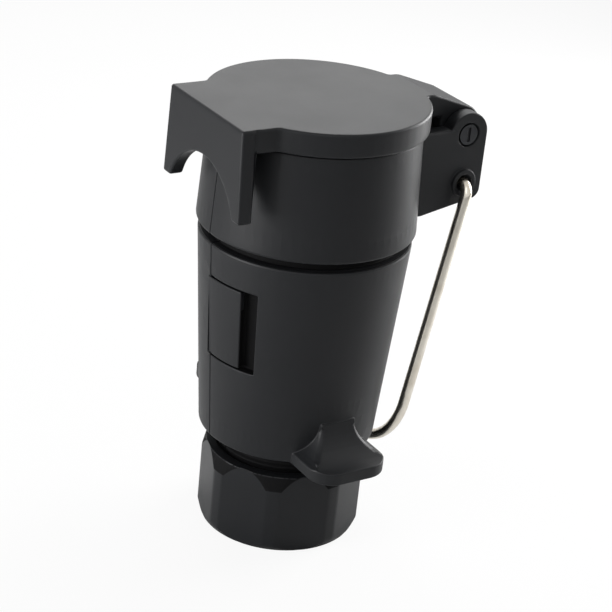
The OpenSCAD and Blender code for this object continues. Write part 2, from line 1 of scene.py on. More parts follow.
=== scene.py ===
"""Finished look of an in-line trailer wiring socket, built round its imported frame.

The socket stands on its gland nut with +Z up and its lid hinge at +X. Moulded pieces are softened copies of
the frame's nodes, so every edge gets the small radius that a mould leaves. Wire pieces are swept along their
own centre lines. All sizes are in millimetres until a mesh is made, and every mesh is in metres.
"""

from __future__ import annotations

import json
import logging
import math
from collections.abc import Callable
from dataclasses import dataclass, field
from enum import Enum

import bmesh
import bpy
from mathutils import Matrix, Vector

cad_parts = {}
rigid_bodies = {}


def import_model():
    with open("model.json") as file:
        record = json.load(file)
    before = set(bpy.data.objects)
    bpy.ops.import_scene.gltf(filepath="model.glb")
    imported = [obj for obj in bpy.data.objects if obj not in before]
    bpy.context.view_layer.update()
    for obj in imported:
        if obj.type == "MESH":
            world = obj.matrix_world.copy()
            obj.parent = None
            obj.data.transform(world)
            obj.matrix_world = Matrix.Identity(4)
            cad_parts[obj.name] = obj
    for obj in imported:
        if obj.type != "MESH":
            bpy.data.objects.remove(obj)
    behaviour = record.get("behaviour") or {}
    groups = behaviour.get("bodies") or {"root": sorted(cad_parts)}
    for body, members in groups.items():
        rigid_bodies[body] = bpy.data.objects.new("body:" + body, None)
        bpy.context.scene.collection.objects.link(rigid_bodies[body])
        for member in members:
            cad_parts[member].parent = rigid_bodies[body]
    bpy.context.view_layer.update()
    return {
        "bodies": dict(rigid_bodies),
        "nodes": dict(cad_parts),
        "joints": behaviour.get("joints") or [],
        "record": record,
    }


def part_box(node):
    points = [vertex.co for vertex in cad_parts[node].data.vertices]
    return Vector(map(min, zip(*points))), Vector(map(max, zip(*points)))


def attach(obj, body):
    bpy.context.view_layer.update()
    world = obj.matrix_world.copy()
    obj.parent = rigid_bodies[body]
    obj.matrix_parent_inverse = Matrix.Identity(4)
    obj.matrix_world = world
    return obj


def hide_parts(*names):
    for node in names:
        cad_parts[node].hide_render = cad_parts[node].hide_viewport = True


LOG = logging.getLogger("trailer_socket")
MM = 0.001

# Sockets of the colour form of Blender's Mix node, whose names repeat those of its other forms
MIX_SHARE, MIX_FIRST, MIX_SECOND, MIX_RESULT = 0, 6, 7, 2


class Body(Enum):
    """The rigid bodies that the new pieces ride on."""

    SHELL = "shell"
    LID = "lid"
    BAIL = "bail"
    NUT = "gland_nut"


class Slot(Enum):
    """The record's material slots, named for the new pieces but never given to them."""

    BLACK_PLASTIC = "black_plastic"
    STEEL = "steel"


# ---------------------------------------------------------------- nodes and colours


def linear(code: str) -> tuple[float, float, float, float]:
    """Turns an sRGB hex colour into linear light.

    Args:
        code: The colour, such as "#2a2b2d".

    Returns:
        Red, green, blue and an alpha of 1.
    """
    parts = [int(code.lstrip("#")[i : i + 2], 16) / 255 for i in (0, 2, 4)]
    light = [c / 12.92 if c <= 0.04045 else ((c + 0.055) / 1.055) ** 2.4 for c in parts]
    return (light[0], light[1], light[2], 1.0)


def add_node(
    tree: bpy.types.NodeTree,
    kind: str,
    settings: dict[str, object] | None = None,
    links: dict[str, bpy.types.NodeSocket] | None = None,
) -> bpy.types.Node:
    """Adds one shader node, sets it up and links its inputs.

    Args:
        tree: The tree that the node goes into.
        kind: Blender's name of the node's type.
        settings: Values by the name of an input socket or, failing that, of a property.
        links: Output sockets of other nodes by the name of the input that they feed.

    Returns:
        The new node.
    """
    node = tree.nodes.new(kind)
    for name, value in (settings or {}).items():
        if hasattr(node, name):
            setattr(node, name, value)
        else:
            node.inputs[name].default_value = value
    for name, output in (links or {}).items():
        tree.links.new(output, node.inputs[name])
    return node


def new_surface(name: str) -> tuple[bpy.types.Material, bpy.types.NodeTree, bpy.types.NodeSocket]:
    """Starts a material.

    Args:
        name: The material's name.

    Returns:
        The material, its emptied node tree and the socket of the object's own coordinates.
    """
    material = bpy.data.materials.new(name)
    material.use_nodes = True
    tree = material.node_tree
    tree.nodes.clear()
    coordinates = add_node(tree, "ShaderNodeTexCoord").outputs["Object"]
    return material, tree, coordinates


def finish_surface(
    tree: bpy.types.NodeTree,
    settings: dict[str, object],
    links: dict[str, bpy.types.NodeSocket],
) -> None:
    """Adds the main shader and the output to a material's tree.

    Args:
        tree: The material's tree.
        settings: Values on the shader's own sockets.
        links: What feeds the shader's sockets.
    """
    shader = add_node(tree, "ShaderNodeBsdfPrincipled", settings, links)
    add_node(tree, "ShaderNodeOutputMaterial", links={"Surface": shader.outputs["BSDF"]})


def add_noise(
    tree: bpy.types.NodeTree,
    where: bpy.types.NodeSocket,
    size_mm: float,
    detail: float,
    roughness: float = 0.5,
) -> bpy.types.NodeSocket:
    """Adds a cloudy pattern.

    Args:
        tree: The material's tree.
        where: The coordinates that it is laid out in.
        size_mm: About how large one cloud is.
        detail: How many finer layers lie over the clouds.
        roughness: How strong the finer layers are.

    Returns:
        The pattern, from 0 to 1.
    """
    settings = {"Scale": 1 / (size_mm * MM), "Detail": detail, "Roughness": roughness}
    return add_node(tree, "ShaderNodeTexNoise", settings, {"Vector": where}).outputs["Fac"]


def add_range(
    tree: bpy.types.NodeTree,
    value: bpy.types.NodeSocket,
    old: tuple[float, float],
    new: tuple[float, float],
) -> bpy.types.NodeSocket:
    """Stretches one range of values onto another.

    Args:
        tree: The material's tree.
        value: What is stretched.
        old: The range that the value is read in.
        new: The range that it comes out in.

    Returns:
        The stretched value.
    """
    settings = {"From Min": old[0], "From Max": old[1], "To Min": new[0], "To Max": new[1]}
    return add_node(tree, "ShaderNodeMapRange", settings, {"Value": value}).outputs["Result"]


def add_bump(
    tree: bpy.types.NodeTree, height: bpy.types.NodeSocket, depth_mm: float, strength: float = 1.0
) -> bpy.types.NodeSocket:
    """Raises a surface by a pattern.

    Args:
        tree: The material's tree.
        height: The pattern.
        depth_mm: How far its highest points rise.
        strength: How much of that shows.

    Returns:
        The surface's normal.
    """
    settings = {"Strength": strength, "Distance": depth_mm * MM}
    return add_node(tree, "ShaderNodeBump", settings, {"Height": height}).outputs["Normal"]


def mix_colours(
    tree: bpy.types.NodeTree,
    share: bpy.types.NodeSocket,
    first: str | bpy.types.NodeSocket,
    second: str,
) -> bpy.types.NodeSocket:
    """Mixes two colours.

    Args:
        tree: The material's tree.
        share: How much there is of the second colour, from 0 to 1.
        first: The first colour, as an sRGB hex code or another node's output.
        second: The second colour, as an sRGB hex code.

    Returns:
        The mixed colour.
    """
    node = add_node(tree, "ShaderNodeMix", {"data_type": "RGBA"})
    tree.links.new(share, node.inputs[MIX_SHARE])
    if isinstance(first, str):
        node.inputs[MIX_FIRST].default_value = linear(first)
    else:
        tree.links.new(first, node.inputs[MIX_FIRST])
    node.inputs[MIX_SECOND].default_value = linear(second)
    return node.outputs[MIX_RESULT]


# ---------------------------------------------------------------- finishes


@dataclass(frozen=True)
class MouldedPolyamide:
    """Glass-filled polyamide, injection moulded in a spark-eroded tool.

    The eye sees a dark satin surface with a fine even grain, cloudy changes of gloss where the melt cooled at
    different rates, and pale flecks of dust and fibre.
    """

    name: str
    colour: str
    cloud_colour: str
    fleck_colour: str
    roughness: float
    specular: float = 0.18
    ior: float = 1.53
    grain_mm: float = 0.42  # real grain is about 0.1 mm, drawn coarser so that it shows
    grain_depth_mm: float = 0.012
    cloud_mm: float = 14.0
    cloud_range: tuple[float, float] = (0.3, 0.7)
    gloss_change: tuple[float, float] = (-0.015, 0.02)
    fleck_mm: float = 1.3
    fleck_edge: tuple[float, float] = (0.02, 0.06)
    fleck_share: float = 0.35

    def build(self) -> bpy.types.Material:
        """Makes the material.

        Returns:
            The finished material.
        """
        material, tree, where = new_surface(self.name)
        cloud = add_noise(tree, where, self.cloud_mm, 4.0, 0.6)
        tint = mix_colours(tree, cloud, self.colour, self.cloud_colour)
        fleck = add_node(
            tree,
            "ShaderNodeTexVoronoi",
            {"Scale": 1 / (self.fleck_mm * MM), "Randomness": 1.0},
            {"Vector": where},
        ).outputs["Distance"]
        fleck_mask = add_range(tree, fleck, self.fleck_edge, (self.fleck_share, 0.0))
        colour = mix_colours(tree, fleck_mask, tint, self.fleck_colour)
        glossier, duller = (self.roughness + change for change in self.gloss_change)
        gloss = add_range(tree, cloud, self.cloud_range, (glossier, duller))
        grain = add_noise(tree, where, self.grain_mm, 3.0, 0.55)
        bump = add_bump(tree, grain, self.grain_depth_mm)
        finish_surface(
            tree,
            {"IOR": self.ior, "Specular IOR Level": self.specular},
            {"Base Color": colour, "Roughness": gloss, "Normal": bump},
        )
        return material


@dataclass(frozen=True)
class MouldedRubber:
    """Pressed EPDM rubber: near black, dull, with a slight bloom that greys it in patches."""

    name: str
    colour: str = "#161617"
    bloom_colour: str = "#2a2a2b"
    roughness: float = 0.72
    ior: float = 1.52
    bloom_mm: float = 6.0
    grain_mm: float = 0.3
    grain_depth_mm: float = 0.01

    def build(self) -> bpy.types.Material:
        """Makes the material.

        Returns:
            The finished material.
        """
        material, tree, where = new_surface(self.name)
        bloom = add_noise(tree, where, self.bloom_mm, 5.0)
        colour = mix_colours(tree, bloom, self.colour, self.bloom_colour)
        grain = add_noise(tree, where, self.grain_mm, 2.0)
        bump = add_bump(tree, grain, self.grain_depth_mm)
        finish_surface(
            tree,
            {"IOR": self.ior, "Roughness": self.roughness},
            {"Base Color": colour, "Normal": bump},
        )
        return material


@dataclass(frozen=True)
class DrawnSteel:
    """Drawn stainless wire: bright, with fine lines along its length and a faint warm stain."""

    name: str
    colour: str = "#d8d3c8"
    stain_colour: str = "#a89c88"
    roughness: float = 0.24
    gloss_change: tuple[float, float] = (-0.03, 0.05)
    line_mm: float = 0.25  # real die lines are some hundredths apart, drawn coarser so that they show
    line_stretch: float = 40.0
    line_depth_mm: float = 0.0008
    stain_mm: float = 9.0
    stain_range: tuple[float, float] = (0.45, 0.75)
    stain_share: float = 0.6

    def build(self) -> bpy.types.Material:
        """Makes the material.

        Returns:
            The finished material.
        """
        material, tree, where = new_surface(self.name)
        across = 1 / (self.line_mm * MM)
        stretched = add_node(
            tree,
            "ShaderNodeMapping",
            {"Scale": (across, across, across / self.line_stretch)},
            {"Vector": where},
        ).outputs["Vector"]
        lines = add_noise(tree, stretched, 1 / MM, 2.0)
        patches = add_noise(tree, where, self.stain_mm, 3.0)
        stain = add_range(tree, patches, self.stain_range, (0.0, self.stain_share))
        colour = mix_colours(tree, stain, self.colour, self.stain_colour)
        glossier, duller = (self.roughness + change for change in self.gloss_change)
        gloss = add_range(tree, lines, (0.0, 1.0), (glossier, duller))
        bump = add_bump(tree, lines, self.line_depth_mm)
        finish_surface(
            tree,
            {"Metallic": 1.0},
            {"Base Color": colour, "Roughness": gloss, "Normal": bump},
        )
        return material


@dataclass(frozen=True)
class TurnedBrass:
    """Turned brass contact stock: fine rings across the pin and a slight brown tarnish."""

    name: str
    colour: str = "#d9b667"
    tarnish_colour: str = "#8f6d35"
    roughness: float = 0.28
    ring_mm: float = 1.2
    ring_depth_mm: float = 0.004
    ring_strength: float = 0.6
    tarnish_mm: float = 3.0
    tarnish_range: tuple[float, float] = (0.5, 0.8)
    tarnish_share: float = 0.7

    def build(self) -> bpy.types.Material:
        """Makes the material.

        Returns:
            The finished material.
        """
        material, tree, where = new_surface(self.name)
        rings = add_node(
            tree,
            "ShaderNodeTexWave",
            {"bands_direction": "Z", "Scale": 1 / (self.ring_mm * MM), "Distortion": 0.4},
            {"Vector": where},
        ).outputs["Fac"]
        patches = add_noise(tree, where, self.tarnish_mm, 4.0)
        tarnish = add_range(tree, patches, self.tarnish_range, (0.0, self.tarnish_share))
        colour = mix_colours(tree, tarnish, self.colour, self.tarnish_colour)
        bump = add_bump(tree, rings, self.ring_depth_mm, self.ring_strength)
        finish_surface(
            tree,
            {"Metallic": 1.0, "Roughness": self.roughness},
            {"Base Color": colour, "Normal": bump},
        )
        return material


@dataclass
class Finishes:
    """Every material of the socket, made once."""

    shell_plastic: bpy.types.Material = field(init=False)
    lid_plastic: bpy.types.Material = field(init=False)
    nut_plastic: bpy.types.Material = field(init=False)
    # near-black painted shade for the shell's gaps and the nut's chamfer
    painted_shade_plastic: bpy.types.Material = field(init=False)
    insert_plastic: bpy.types.Material = field(init=False)
    rubber: bpy.types.Material = field(init=False)
    wire: bpy.types.Material = field(init=False)
    dark_steel: bpy.types.Material = field(init=False)
    brass: bpy.types.Material = field(init=False)

    def __post_init__(self) -> None:
        """Builds the materials."""
        self.shell_plastic = MouldedPolyamide(
            "black_polyamide_shell", "#18191b", "#1b1c1e", "#303236", 0.46
        ).build()
        self.lid_plastic = MouldedPolyamide(
            "black_polyamide_lid", "#1a1b1d", "#1d1e20", "#323438", 0.44
        ).build()
        self.nut_plastic = MouldedPolyamide(
            "black_polyamide_nut", "#18191b", "#1b1c1e", "#34363a", 0.35
        ).build()
        # painted shade: a near-black, dull copy of the plastic that stands in for the shadow in gaps
        self.painted_shade_plastic = MouldedPolyamide(
            "black_polyamide_painted_shade", "#070708", "#0b0b0c", "#121213", 0.7, 0.08
        ).build()
        self.insert_plastic = MouldedPolyamide(
            "grey_polyamide_insert", "#55585c", "#5d6064", "#74777b", 0.5
        ).build()
        self.rubber = MouldedRubber("black_epdm_rubber").build()
        self.wire = DrawnSteel("drawn_stainless_wire").build()
        self.dark_steel = DrawnSteel(
            "blackened_steel_pin", "#3a3b3d", "#2b2b2c", 0.38
        ).build()
        self.brass = TurnedBrass("turned_brass_contact").build()


# ---------------------------------------------------------------- mesh tools


def new_piece(name: str, mesh: bmesh.types.BMesh, material: bpy.types.Material) -> bpy.types.Object:
    """Turns a bmesh into a smooth-shaded object.

    Args:
        name: The piece's name.
        mesh: The geometry, in metres. It is freed.
        material: What the piece is made of.

    Returns:
        The new object, linked to the scene.
    """
    bmesh.ops.recalc_face_normals(mesh, faces=mesh.faces[:])
    data = bpy.data.meshes.new(name)
    mesh.to_mesh(data)
    mesh.free()
    data.materials.append(material)
    data.polygons.foreach_set("use_smooth", [True] * len(data.polygons))
    data.update()
    piece = bpy.data.objects.new(name, data)
    bpy.context.scene.collection.objects.link(piece)
    return piece


def slice_evenly(mesh: bmesh.types.BMesh, spacing_mm: float, axes: tuple[int, ...]) -> None:
    """Cuts a mesh along evenly spaced planes, so that long faces don't shade in streaks.

    Args:
        mesh: The geometry, in metres.
        spacing_mm: Distance between neighbouring cuts.
        axes: The axes, 0 to 2, that the cuts are square to.
    """
    step = spacing_mm * MM
    for axis in axes:
        places = [v.co[axis] for v in mesh.verts]
        low, high = min(places), max(places)
        normal = Vector([1.0 if i == axis else 0.0 for i in range(3)])
        for i in range(1, int((high - low) / step) + 1):
            bmesh.ops.bisect_plane(
                mesh,
                geom=mesh.verts[:] + mesh.edges[:] + mesh.faces[:],
                dist=0.002 * MM,
                plane_co=normal * (low + i * step),
                plane_no=normal,
            )


def softened_copy(
    source: bpy.types.Object,
    name: str,
    material: bpy.types.Material,
    edge_mm: float,
    from_deg: float = 30.0,
    grid_mm: float = 3.0,
    grid_axes: tuple[int, ...] = (2,),
    wide_mm: float = 0.0,
    is_wide: Callable[[Vector], bool] | None = None,
    is_kept: Callable[[Vector], bool] = lambda point: False,
) -> bpy.types.Object:
    """Copies a frame node and gives its sharp edges a mould's small radius.

    Args:
        source: The frame's node.
        name: The new piece's name.
        material: What the piece is made of.
        edge_mm: How far the radius reaches from each edge.
        from_deg: Edges that turn by more than this are rounded.
        grid_mm: Spacing of the cuts that keep the faces small.
        grid_axes: The axes that those cuts are square to.
        wide_mm: Reach of the larger radius on the edges that is_wide picks.
        is_wide: Says of a point in millimetres whether an edge that ends there can have the larger radius.
        is_kept: Says of a point in millimetres whether edges that end there stay as they are.

    Returns:
        The new piece, with face-weighted normals.
    """
    mesh = bmesh.new()
    mesh.from_mesh(source.data)
    bmesh.ops.remove_doubles(mesh, verts=mesh.verts[:], dist=0.003 * MM)
    bmesh.ops.dissolve_degenerate(mesh, edges=mesh.edges[:], dist=0.01 * MM)
    bmesh.ops.dissolve_limit(
        mesh, angle_limit=math.radians(0.4), verts=mesh.verts[:], edges=mesh.edges[:]
    )
    limit = math.radians(from_deg)

    def round_off(edges: list[bmesh.types.BMEdge], reach_mm: float, steps: int) -> None:
        """Rounds some edges."""
        bmesh.ops.bevel(
            mesh,
            geom=edges,
            offset=reach_mm * MM,
            offset_type="OFFSET",
            segments=steps,
            profile=0.5,
            affect="EDGES",
            clamp_overlap=False,
            miter_outer="ARC",
        )

    def sharp_edges() -> list[bmesh.types.BMEdge]:
        """Edges that turn by more than the limit."""
        return [
            e
            for e in mesh.edges
            if e.is_manifold
            and e.calc_face_angle(0.0) > limit
            and not any(is_kept(v.co / MM) for v in e.verts)
        ]

    if is_wide is not None:
        wide = [e for e in sharp_edges() if all(is_wide(v.co / MM) for v in e.verts)]
        round_off(wide, wide_mm, 5)
    round_off(sharp_edges(), edge_mm, 3)
    slice_evenly(mesh, grid_mm, grid_axes)
    piece = new_piece(name, mesh, material)
    weighted = piece.modifiers.new("weighted normals", "WEIGHTED_NORMAL")
    weighted.weight = 80
    weighted.keep_sharp = False
    return piece


def paint_faces(
    piece: bpy.types.Object, material: bpy.types.Material, picks: Callable[[Vector, Vector], bool]
) -> None:
    """Gives some of a piece's faces a second finish.

    Args:
        piece: The piece.
        material: The second finish.
        picks: Says of a face's middle in millimetres and its normal whether the face gets that finish.
    """
    piece.data.materials.append(material)
    index = len(piece.data.materials) - 1
    for face in piece.data.polygons:
        if picks(face.center / MM, face.normal):
            face.material_index = index


def swept_wire(
    name: str,
    path: list[Vector],
    radius_mm: float,
    material: bpy.types.Material,
    sides: int = 32,
    end_round_mm: float = 0.3,
) -> bpy.types.Object:
    """Sweeps a round wire along a path of points, with softened ends.

    Args:
        name: The piece's name.
        path: Points along the wire's centre, in millimetres.
        radius_mm: The wire's radius.
        material: What the wire is made of.
        sides: How many corners its section has.
        end_round_mm: How far each cut end is rounded.

    Returns:
        The new piece.
    """
    mesh = bmesh.new()
    directions = [
        (path[min(i + 1, len(path) - 1)] - path[max(i - 1, 0)]).normalized() for i in range(len(path))
    ]
    normal = directions[0].orthogonal().normalized()
    rings: list[list[bmesh.types.BMVert]] = []

    def ring(centre: Vector, direction: Vector, radius: float) -> None:
        """Adds one ring of points round the wire."""
        side = direction.cross(normal)
        turns = [2 * math.pi * k / sides for k in range(sides)]
        rings.append(
            [
                mesh.verts.new((centre + radius * (math.cos(t) * normal + math.sin(t) * side)) * MM)
                for t in turns
            ]
        )

    for i, (point, direction) in enumerate(zip(path, directions)):
        normal = (normal - direction * normal.dot(direction)).normalized()
        if i == 0:
            ring(point, direction, radius_mm - end_round_mm)
            ring(point + direction * end_round_mm, direction, radius_mm)
        elif i == len(path) - 1:
            ring(point - direction * end_round_mm, direction, radius_mm)
            ring(point, direction, radius_mm - end_round_mm)
        else:
            ring(point, direction, radius_mm)
    for first, second in zip(rings, rings[1:]):
        for k in range(sides):
            after = (k + 1) % sides
            mesh.faces.new((first[k], first[after], second[after], second[k]))
    mesh.faces.new(rings[0])
    mesh.faces.new(rings[-1])
    return new_piece(name, mesh, material)


def arc(centre: Vector, start: Vector, turn_to: Vector, degrees: float, steps: int) -> list[Vector]:
    """Points along a circular arc.

    Args:
        centre: The arc's centre.
        start: The arm from the centre to the first point.
        turn_to: An arm square to start, as long as it, in the direction of travel.
        degrees: How far the arc turns.
        steps: How many stretches it has.

    Returns:
        The points, from first to last.
    """
    angles = [math.radians(degrees) * i / steps for i in range(steps + 1)]
    return [centre + math.cos(a) * start + math.sin(a) * turn_to for a in angles]


# ---------------------------------------------------------------- sub-assemblies


def joint_place(frame: dict, child: Body) -> Vector:
    """Finds where a body's joint is.

    Args:
        frame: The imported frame.
        child: The body that the joint moves.

    Returns:
        The joint's place, in millimetres.
    """
    joint = next(j for j in frame["joints"] if j["child"] == child.value)
    return Vector(joint["pos_m"]) / MM


@dataclass
class LidSpring:
    """The torsion spring round the hinge pin.

    Its coil stays with the shell, and its leg in the lid's arm goes with the lid.
    """

    frame: dict
    finishes: Finishes
    wire_mm: float = 1.1
    coil_mm: float = 3.4  # radius to the wire's centre
    pitch_mm: float = 1.3
    first_deg: float = 20.0
    last_deg: float = 1964.0
    handover_deg: float = 30.0
    start_y_mm: float = -3.4
    lid_leg_mm: float = 11.0
    step_deg: float = 10.0
    foot_x_mm: float = 30.7
    foot_drops_mm: tuple[float, float] = (6.0, 9.0)  # below the pin
    collar_taper: float = 0.045
    sides: int = 20
    end_round_mm: float = 0.1
    pin: Vector = field(init=False)

    def __post_init__(self) -> None:
        """Reads the pin's place from the frame."""
        self.pin = joint_place(self.frame, Body.LID)

    def on_coil(self, degrees: float) -> Vector:
        """A point on the coil.

        Args:
            degrees: How far round it is, from the top of the pin towards +X.

        Returns:
            The point in millimetres, in the frame's axes.
        """
        turn = math.radians(degrees)
        along = self.start_y_mm + self.pitch_mm * (degrees - self.first_deg) / 360
        across = self.pin.x + self.coil_mm * math.sin(turn)
        return Vector((across, along, self.pin.z + self.coil_mm * math.cos(turn)))

    def coil_points(self, first: float, last: float) -> list[Vector]:
        """Points along a stretch of the coil.

        Args:
            first: Where it begins, in degrees.
            last: Where it ends.

        Returns:
            The points, evenly spaced.
        """
        steps = max(1, round((last - first) / self.step_deg))
        return [self.on_coil(first + (last - first) * i / steps) for i in range(steps + 1)]

    def wire(self, name: str, path: list[Vector]) -> bpy.types.Object:
        """Makes one stretch of the spring's wire.

        Args:
            name: The piece's name.
            path: Points along its centre, in millimetres.

        Returns:
            The new piece.
        """
        radius = self.wire_mm / 2
        return swept_wire(name, path, radius, self.finishes.wire, self.sides, self.end_round_mm)

    def build(self) -> None:
        """Makes and places both stretches of the spring."""
        turn = math.radians(self.first_deg)
        leaving = Vector((math.cos(turn), 0, -math.sin(turn)))
        leg = [self.on_coil(self.first_deg) - leaving * self.lid_leg_mm]
        leg += self.coil_points(self.first_deg, self.handover_deg)
        lid_end = self.wire("lid_spring_leg", leg)
        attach(lid_end, Body.LID.value)

        coil = self.coil_points(self.handover_deg, self.last_deg)
        first_drop = self.foot_drops_mm[0]
        feet = [
            Vector(
                (
                    self.foot_x_mm + (drop - first_drop) * self.collar_taper,
                    coil[-1].y,
                    self.pin.z - drop,
                )
            )
            for drop in self.foot_drops_mm
        ]
        body = self.wire("lid_spring_coil", coil + feet)
        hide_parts("lid_spring")
        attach(body, Body.SHELL.value)
        LOG.info("%s: %d faces", body.name, len(body.data.polygons))


@dataclass
class Shell:
    """The two snapped-together halves and the hinge pin."""

    frame: dict
    finishes: Finishes
    edge_mm: float = 0.35
    pin_edge_mm: float = 0.12
    web_edge_mm: float = 1.2
    web_z_mm: tuple[float, float] = (35.2, 43.8)  # the finger rest's web has the larger radius
    web_y_mm: float = 27.0
    body_z_mm: float = 30.8
    body_bottom_mm: float = 25.7  # radii of the tapered body
    body_top_mm: float = 30.2
    groove_z_mm: float = 91.8
    groove_h_mm: float = 2.6
    groove_depths_mm: tuple[float, float] = (0.7, 4.0)
    window_z_mm: tuple[float, float] = (50.8, 86.8)
    window_depths_mm: tuple[float, float] = (1.0, 3.2)
    neck_r_mm: float = 17.5
    neck_depth_mm: float = 1.6
    ear_root_mm: tuple[float, float, float] = (26.3, 13.5, 122.1)
    ear_root_reach_mm: tuple[float, float, float] = (0.8, 1.0, 0.5)
    slack_mm: float = 0.1

    def build(self) -> None:
        """Makes and places every piece of the shell."""
        for node in ("shell_near", "shell_far"):
            piece = softened_copy(
                self.frame["nodes"][node],
                f"{node}_moulding",
                self.finishes.shell_plastic,
                self.edge_mm,
                wide_mm=self.web_edge_mm,
                is_wide=self.at_web,
                is_kept=self.at_ear_root,
            )
            # painted shade: faces deep in the groove, the snap windows and the neck get the near-black finish
            paint_faces(piece, self.finishes.painted_shade_plastic, self.in_gap)
            self.place(piece, Slot.BLACK_PLASTIC, node)
        pin = softened_copy(
            self.frame["nodes"]["hinge_pin"],
            "hinge_pin_turned",
            self.finishes.dark_steel,
            self.pin_edge_mm,
        )
        self.place(pin, Slot.STEEL, "hinge_pin")

    def at_web(self, point: Vector) -> bool:
        """Tells whether a point lies on a finger rest's web.

        Args:
            point: The point, in millimetres.

        Returns:
            True on either web.
        """
        low, high = self.web_z_mm
        return low < point.z < high and abs(point.y) > self.web_y_mm

    def at_ear_root(self, point: Vector) -> bool:
        """Tells whether a point lies where an ear's top meets the collar, whose edges are too short to round.

        Args:
            point: The point, in millimetres.

        Returns:
            True within a millimetre of that corner.
        """
        mirrored = (point.x, abs(point.y), point.z)
        return all(
            abs(value - root) < reach
            for value, root, reach in zip(mirrored, self.ear_root_mm, self.ear_root_reach_mm)
        )

    def in_gap(self, middle: Vector, normal: Vector) -> bool:
        """Tells whether a face lies deep in a gap of the outside, where a near-black finish is painted in as
        shade.

        Args:
            middle: The face's middle, in millimetres.
            normal: Its normal, which makes no difference here.

        Returns:
            True in the ring groove, the snap windows and the neck above the nut.
        """
        radius = math.hypot(middle.x, middle.y)
        taper = (self.body_top_mm - self.body_bottom_mm) / (self.groove_z_mm - self.body_z_mm)
        depth = self.body_bottom_mm + taper * (middle.z - self.body_z_mm) - radius
        groove_top = self.groove_z_mm + self.groove_h_mm
        if self.groove_z_mm - self.slack_mm < middle.z < groove_top + self.slack_mm:
            return self.groove_depths_mm[0] < depth < self.groove_depths_mm[1]
        if self.window_z_mm[0] < middle.z < self.window_z_mm[1]:
            return self.window_depths_mm[0] < depth < self.window_depths_mm[1]
        in_neck = middle.z < self.body_z_mm + self.slack_mm / 2
        return in_neck and self.neck_r_mm < radius < self.body_bottom_mm - self.neck_depth_mm

    def place(self, piece: bpy.types.Object, slot: Slot, node: str) -> None:
        """Puts a piece in a node's place on the shell.

        Args:
            piece: The new piece.
            slot: Its material slot; not used.
            node: The frame node that it stands for.
        """
        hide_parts(node)
        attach(piece, Body.SHELL.value)
        LOG.info("%s: %d faces", piece.name, len(piece.data.polygons))


@dataclass
class HookLid:
    """The lid with its hook flange and hinge arm."""

    frame: dict
    finishes: Finishes
    edge_mm: float = 0.7
    pocket_x_mm: float = 28.0
    pocket_half_w_mm: float = 5.5  # the spring's pocket keeps the frame's own edges

    def build(self) -> None:
        """Makes and places the lid's pieces."""
        lid = softened_copy(
            self.frame["nodes"]["lid"],
            "lid_moulding",
            self.finishes.lid_plastic,
            self.edge_mm,
            grid_axes=(0, 1, 2),
            is_kept=lambda point: point.x > self.pocket_x_mm and abs(point.y) < self.pocket_half_w_mm,
        )
        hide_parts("lid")
        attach(lid, Body.LID.value)
        LOG.info("%s: %d faces", lid.name, len(lid.data.polygons))


@dataclass
class Bail:
    """The wire bail: two legs that are bent into the bracket's holes and a half-round bow."""

    frame: dict
    finishes: Finishes
    wire_mm: float = 3.2
    pivot_bend_mm: float = 3.4
    inner_end_mm: float = 10.6
    straight_mm: float = 0.6  # between each cut end and its first bend
    sides: int = 40
    pivot: Vector = field(init=False)
    tilt: float = field(init=False)
    length: float = field(init=False)
    half_width: float = field(init=False)

    def __post_init__(self) -> None:
        """Reads the pivot's place and works out the tilt from the frame."""
        self.pivot = joint_place(self.frame, Body.BAIL)
        low, high = (Vector(c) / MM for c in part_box("bail"))
        across = self.pivot.x - (low.x + self.wire_mm / 2)
        down = self.pivot.z - (low.z + self.wire_mm / 2)
        self.tilt = math.atan2(across, down)
        self.length = math.hypot(across, down)
        self.half_width = high.y - self.wire_mm / 2

    def centre_line(self) -> list[Vector]:
        """Points along the wire, from one end to the other.

        Returns:
            The points in millimetres, in the frame's axes.
        """
        bend = self.pivot_bend_mm
        side_y = self.half_width
        leg = self.length - side_y
        inner_y = self.inner_end_mm
        start = [Vector((0, inner_y, 0)), Vector((0, inner_y + self.straight_mm, 0))]
        corner = arc(
            Vector((0, side_y - bend, -bend)), Vector((0, 0, bend)), Vector((0, bend, 0)), 90, 12
        )
        bow = arc(
            Vector((0, 0, -leg)), Vector((0, side_y, 0)), Vector((0, 0, -side_y)), 90, 36
        )
        half = start + corner + bow
        other = [Vector((0, -p.y, p.z)) for p in reversed(half[:-1])]
        turn = Matrix.Rotation(self.tilt, 3, "Y")
        return [turn @ p + self.pivot for p in half + other]

    def build(self) -> None:
        """Makes and places the bail."""
        bail = swept_wire(
            "bail_wire", self.centre_line(), self.wire_mm / 2, self.finishes.wire, self.sides
        )
        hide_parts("bail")
        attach(bail, Body.BAIL.value)
        tilt = math.degrees(self.tilt)
        LOG.info("%s: %d faces, tilt %.1f degrees", bail.name, len(bail.data.polygons), tilt)


@dataclass
class Gland:
    """The gland nut that closes on the cable."""

    frame: dict
    finishes: Finishes
    edge_mm: float = 0.5
    bore_zone_mm: float = 21.5  # the outside past this keeps the frame's own chamfers
    chamfer_drops_mm: tuple[float, float] = (4.7, 0.3)  # below the nut's top
    chamfer_slopes: tuple[float, float] = (0.05, 0.9)

    def build(self) -> None:
        """Makes and places the nut."""
        nut = softened_copy(
            self.frame["nodes"]["gland_nut"],
            "gland_nut_moulding",
            self.finishes.nut_plastic,
            self.edge_mm,
            is_kept=lambda point: math.hypot(point.x, point.y) > self.bore_zone_mm,
        )
        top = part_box("gland_nut")[1][2] / MM
        low, high = (top - drop for drop in self.chamfer_drops_mm)
        flattest, steepest = self.chamfer_slopes
        # painted shade: the chamfer's upward faces under the body get the near-black finish in place of their
        # shadow
        paint_faces(
            nut,
            self.finishes.painted_shade_plastic,
            lambda middle, normal: low < middle.z < high and flattest < normal.z < steepest,
        )
        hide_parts("gland_nut")
        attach(nut, Body.NUT.value)
        LOG.info("%s: %d faces", nut.name, len(nut.data.polygons))


